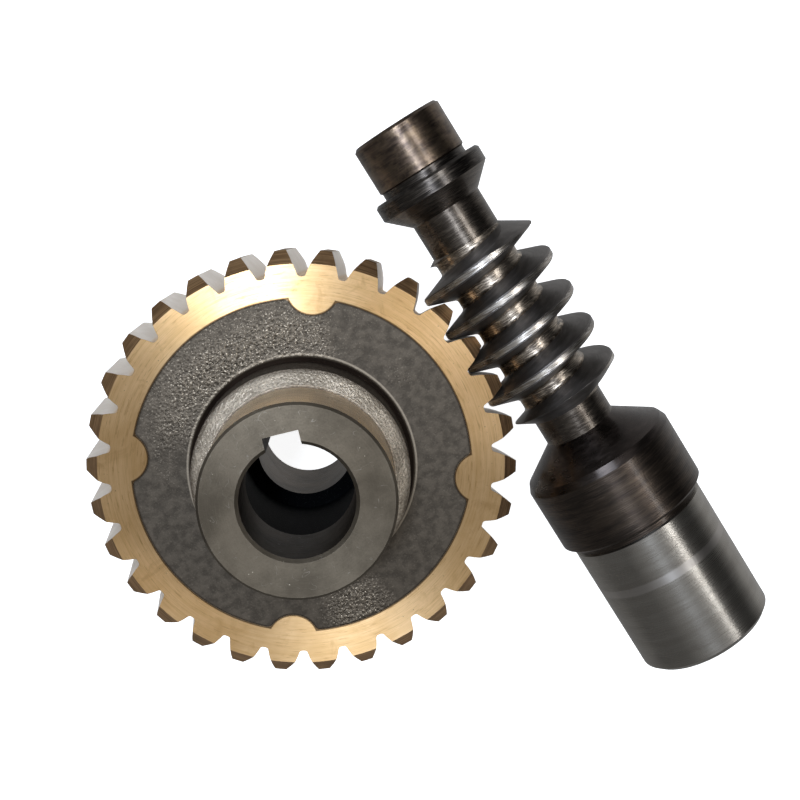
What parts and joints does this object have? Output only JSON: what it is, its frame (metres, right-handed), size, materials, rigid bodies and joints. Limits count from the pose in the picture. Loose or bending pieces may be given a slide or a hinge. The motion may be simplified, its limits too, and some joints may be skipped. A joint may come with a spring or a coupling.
{
  "type": "worm gear set",
  "caption": "Single-start right-hand worm in mesh with a bronze-rimmed worm wheel on a cast iron hub with bearing seats and a keyed bore.",
  "frame": {"origin": "on the wheel's axis, half way along the bore and in the plane of the worm's axis", "axes": "+Z along the wheel's axis; the worm's axis is parallel to Y at x = 80 mm, z = 0, with its small journal towards +Y"},
  "size_m": [0.1715, 0.1925, 0.12],
  "materials": {
    "gear_bronze": "cast tin bronze, faces turned, teeth hobbed",
    "hub_iron": "grey iron, sand-cast web, machined seats and bore",
    "worm_steel": "case-hardened steel, oiled, journals ground",
    "datum_steel": "plain"
  },
  "bodies": {
    "housing_datum": {"datum_ball": "datum_steel"},
    "wheel": {"bronze_rim": "gear_bronze", "iron_hub": "hub_iron"},
    "worm": {"worm_shaft": "worm_steel"}
  },
  "joints": [
    {"name": "wheel_spin", "type": "hinge", "parent": "housing_datum", "child": "wheel", "pos_m": [0, 0, 0], "axis": [0, 0, 1], "continuous": true},
    {"name": "worm_spin", "type": "hinge", "parent": "housing_datum", "child": "worm", "pos_m": [0.08, 0, 0], "axis": [0, 1, 0], "continuous": true}
  ],
  "couplings": [
    {"joint": "worm_spin", "follows": "wheel_spin", "ratio": -30}
  ]
}
